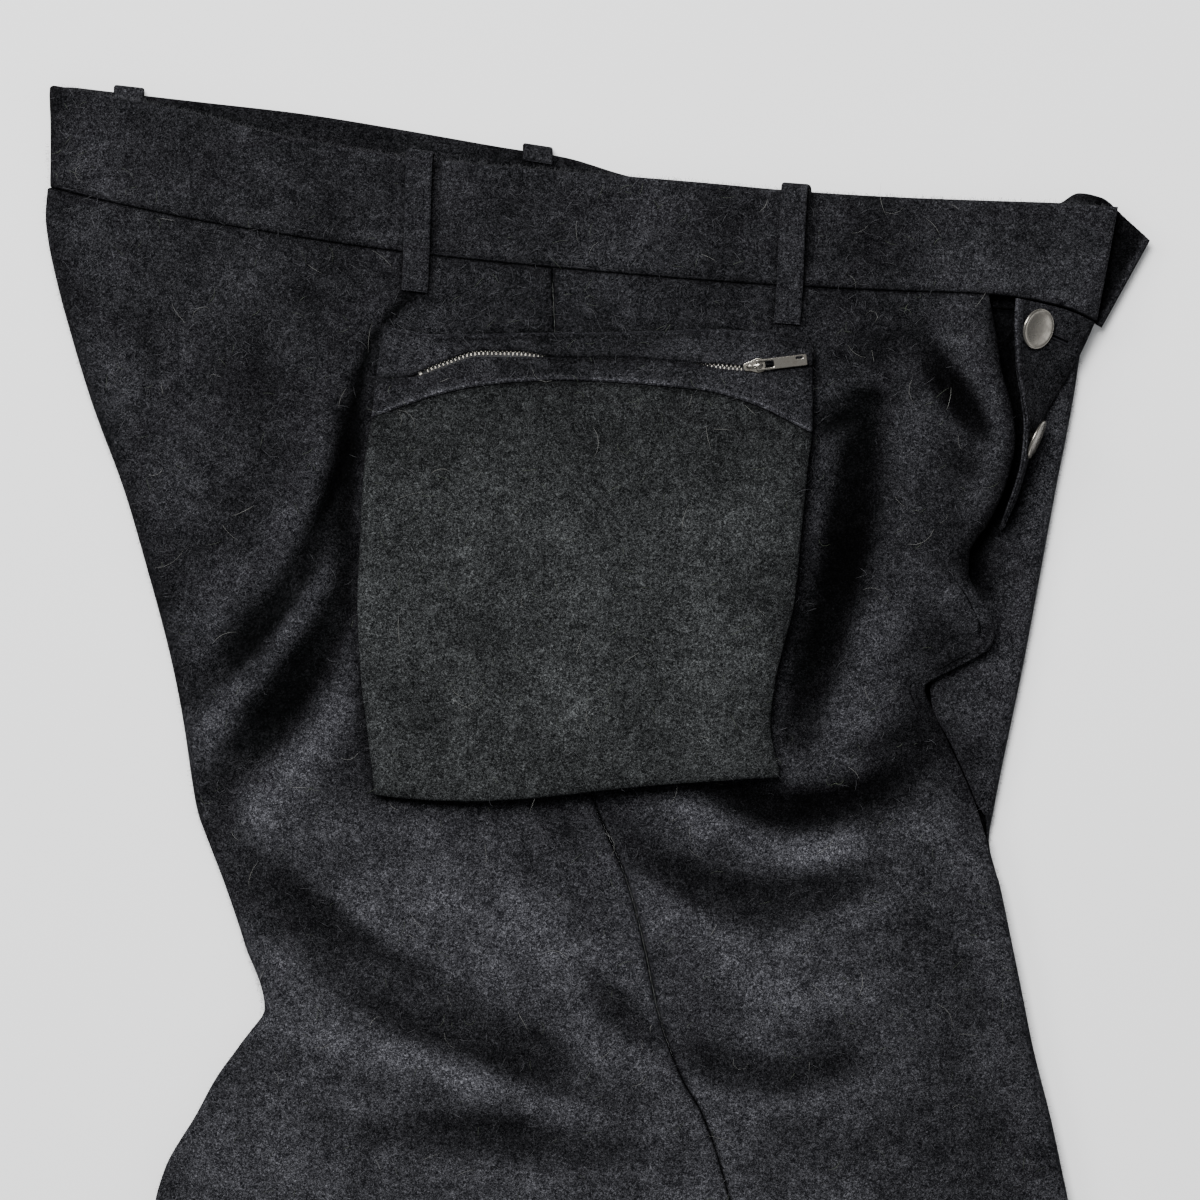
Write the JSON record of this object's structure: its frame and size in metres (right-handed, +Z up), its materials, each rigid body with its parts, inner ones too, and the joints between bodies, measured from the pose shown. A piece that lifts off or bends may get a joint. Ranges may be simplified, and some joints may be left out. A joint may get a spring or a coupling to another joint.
{
  "type": "cargo trousers",
  "caption": "Wool cargo trousers laid flat on their side, fly undone, with a waistband, belt loops and a bellows patch pocket with a curved zip at the hip.",
  "frame": {"origin": "middle of the laid garment's outline, on the surface that it lies on", "axes": "+Z up from the surface to the wearer's right side; +Y along the leg from the hem to the waist; +X from the seat to the fly"},
  "size_m": [0.4429, 1.08, 0.0283],
  "materials": {
    "wool": "dark charcoal felted wool with a brushed nap, dark and blue-grey fibres mixed",
    "zip_tape": "dark woven tape, matt",
    "nickel": "warm nickel plate, satin with darker recesses"
  },
  "bodies": {
    "garment": {"near_back": "wool", "near_front": "wool", "far_back": "wool", "far_front": "wool", "waistband_near": "wool", "waistband_far": "wool", "fly_strip": "wool", "belt_loop_near_back": "wool", "belt_loop_near_front": "wool", "belt_loop_centre_back": "wool", "belt_loop_far_back": "wool", "belt_loop_far_front": "wool", "pocket_front": "wool", "pocket_band_upper": "wool", "pocket_band_lower": "wool", "pocket_gusset": "wool", "fly_button_1": "nickel", "fly_button_2": "nickel", "zip_chain": "nickel", "zip_slider": "nickel", "zip_tape": "zip_tape"},
    "pull_tab": {"zip_pull": "nickel"}
  },
  "joints": [
    {"name": "pull_tab_hinge", "type": "hinge", "parent": "garment", "child": "pull_tab", "pos_m": [0.06379, 0.42675, 0.02402], "axis": [0.1219, -0.9925, 0], "range_deg": [0, 150]}
  ]
}
